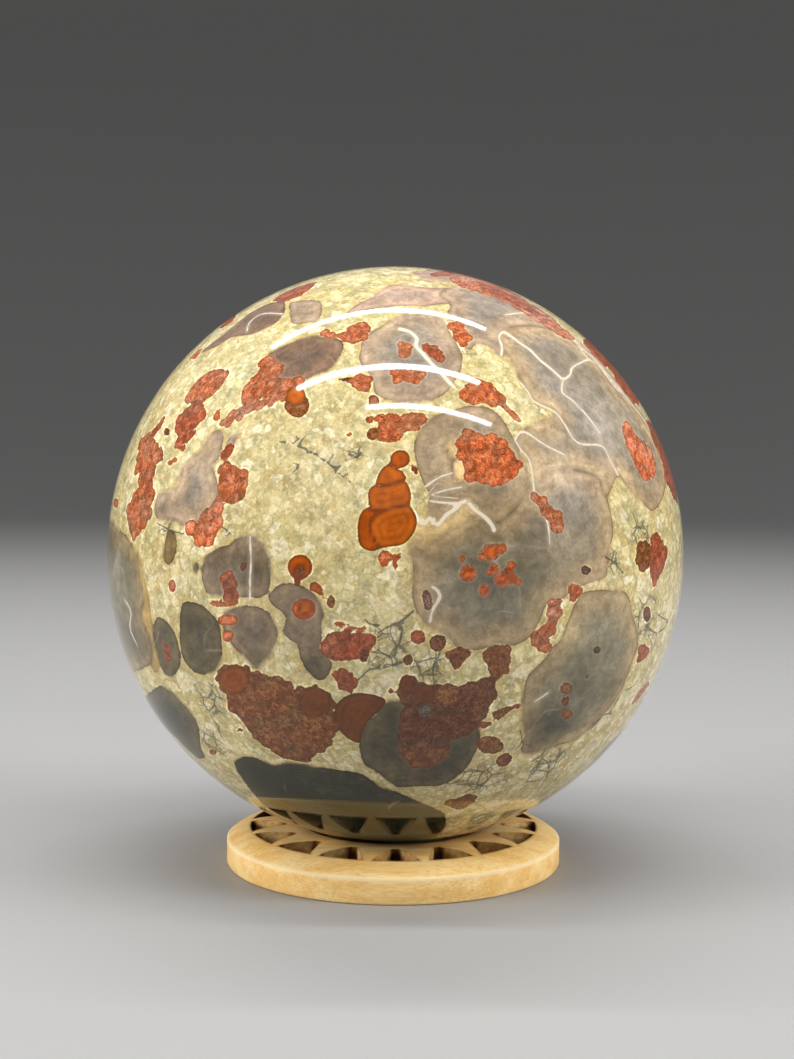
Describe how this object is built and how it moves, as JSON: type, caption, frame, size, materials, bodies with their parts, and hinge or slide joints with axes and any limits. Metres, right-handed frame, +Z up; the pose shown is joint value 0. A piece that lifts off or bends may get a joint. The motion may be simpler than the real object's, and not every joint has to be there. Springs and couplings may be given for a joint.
{
  "type": "polished stone sphere on a ring stand",
  "caption": "Polished ball of poppy jasper that rests in the hole of a flat turned wooden ring stand with a row of triangular openings cut through it.",
  "frame": {"origin": "centre of the ring stand's flat underside, on the surface that it stands on", "axes": "+Z up through the middle of the ring and of the ball; -Y is the side that the markings' best view faces"},
  "size_m": [0.085, 0.085, 0.0886],
  "materials": {
    "poppy_jasper": "polished: cream and yellow-green ground with grey-brown orbs and brick-red clusters",
    "pale_turned_wood": "clear satin lacquer, brown scorched walls in the sawn openings"
  },
  "bodies": {
    "root": {"jasper_sphere": "poppy_jasper", "ring_stand": "pale_turned_wood"}
  },
  "joints": []
}
